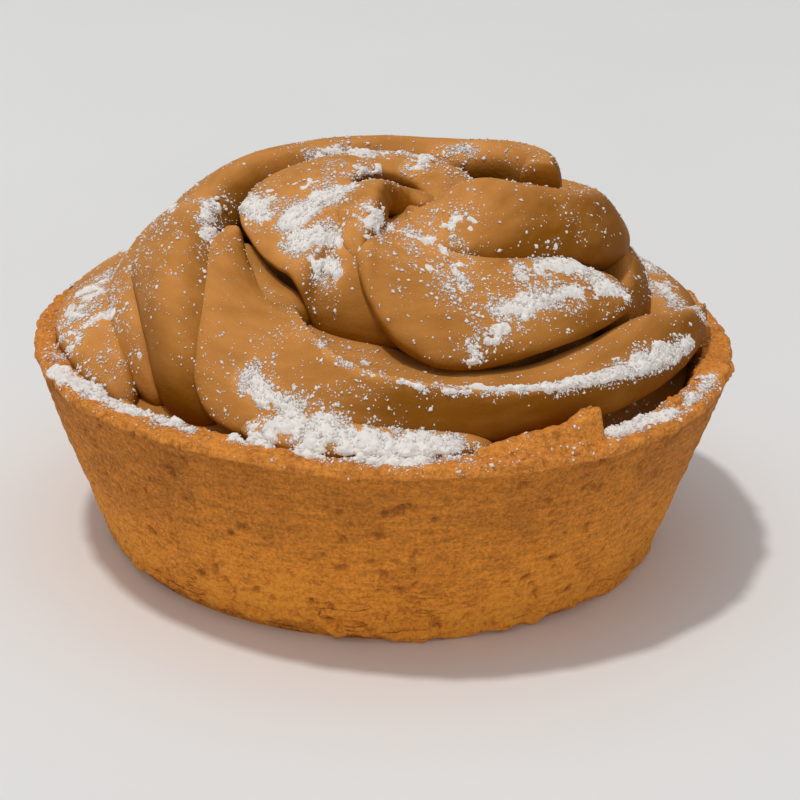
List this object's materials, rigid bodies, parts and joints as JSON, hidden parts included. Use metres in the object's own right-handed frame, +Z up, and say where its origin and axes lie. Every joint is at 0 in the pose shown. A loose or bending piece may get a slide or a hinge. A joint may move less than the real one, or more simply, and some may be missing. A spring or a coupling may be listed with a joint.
{
  "type": "chestnut cream tart",
  "caption": "Round shortcrust tart case with a sloped wall, filled with smooth chestnut cream piped as a rising swirl and dusted with icing sugar; a single-serving dessert.",
  "frame": {"origin": "middle of the flat base, where the tart stands", "axes": "+Z up along the axis of the case, -Y towards the shown front of the swirl, +X to the right of it"},
  "size_m": [0.08, 0.08, 0.044],
  "materials": {
    "shortcrust": "baked, matt and grainy",
    "chestnut_cream": "smooth and satin, dusted with white icing sugar",
    "icing_sugar": "loose matt powder"
  },
  "bodies": {
    "root": {"crust": "shortcrust", "cream": "chestnut_cream"}
  },
  "joints": []
}
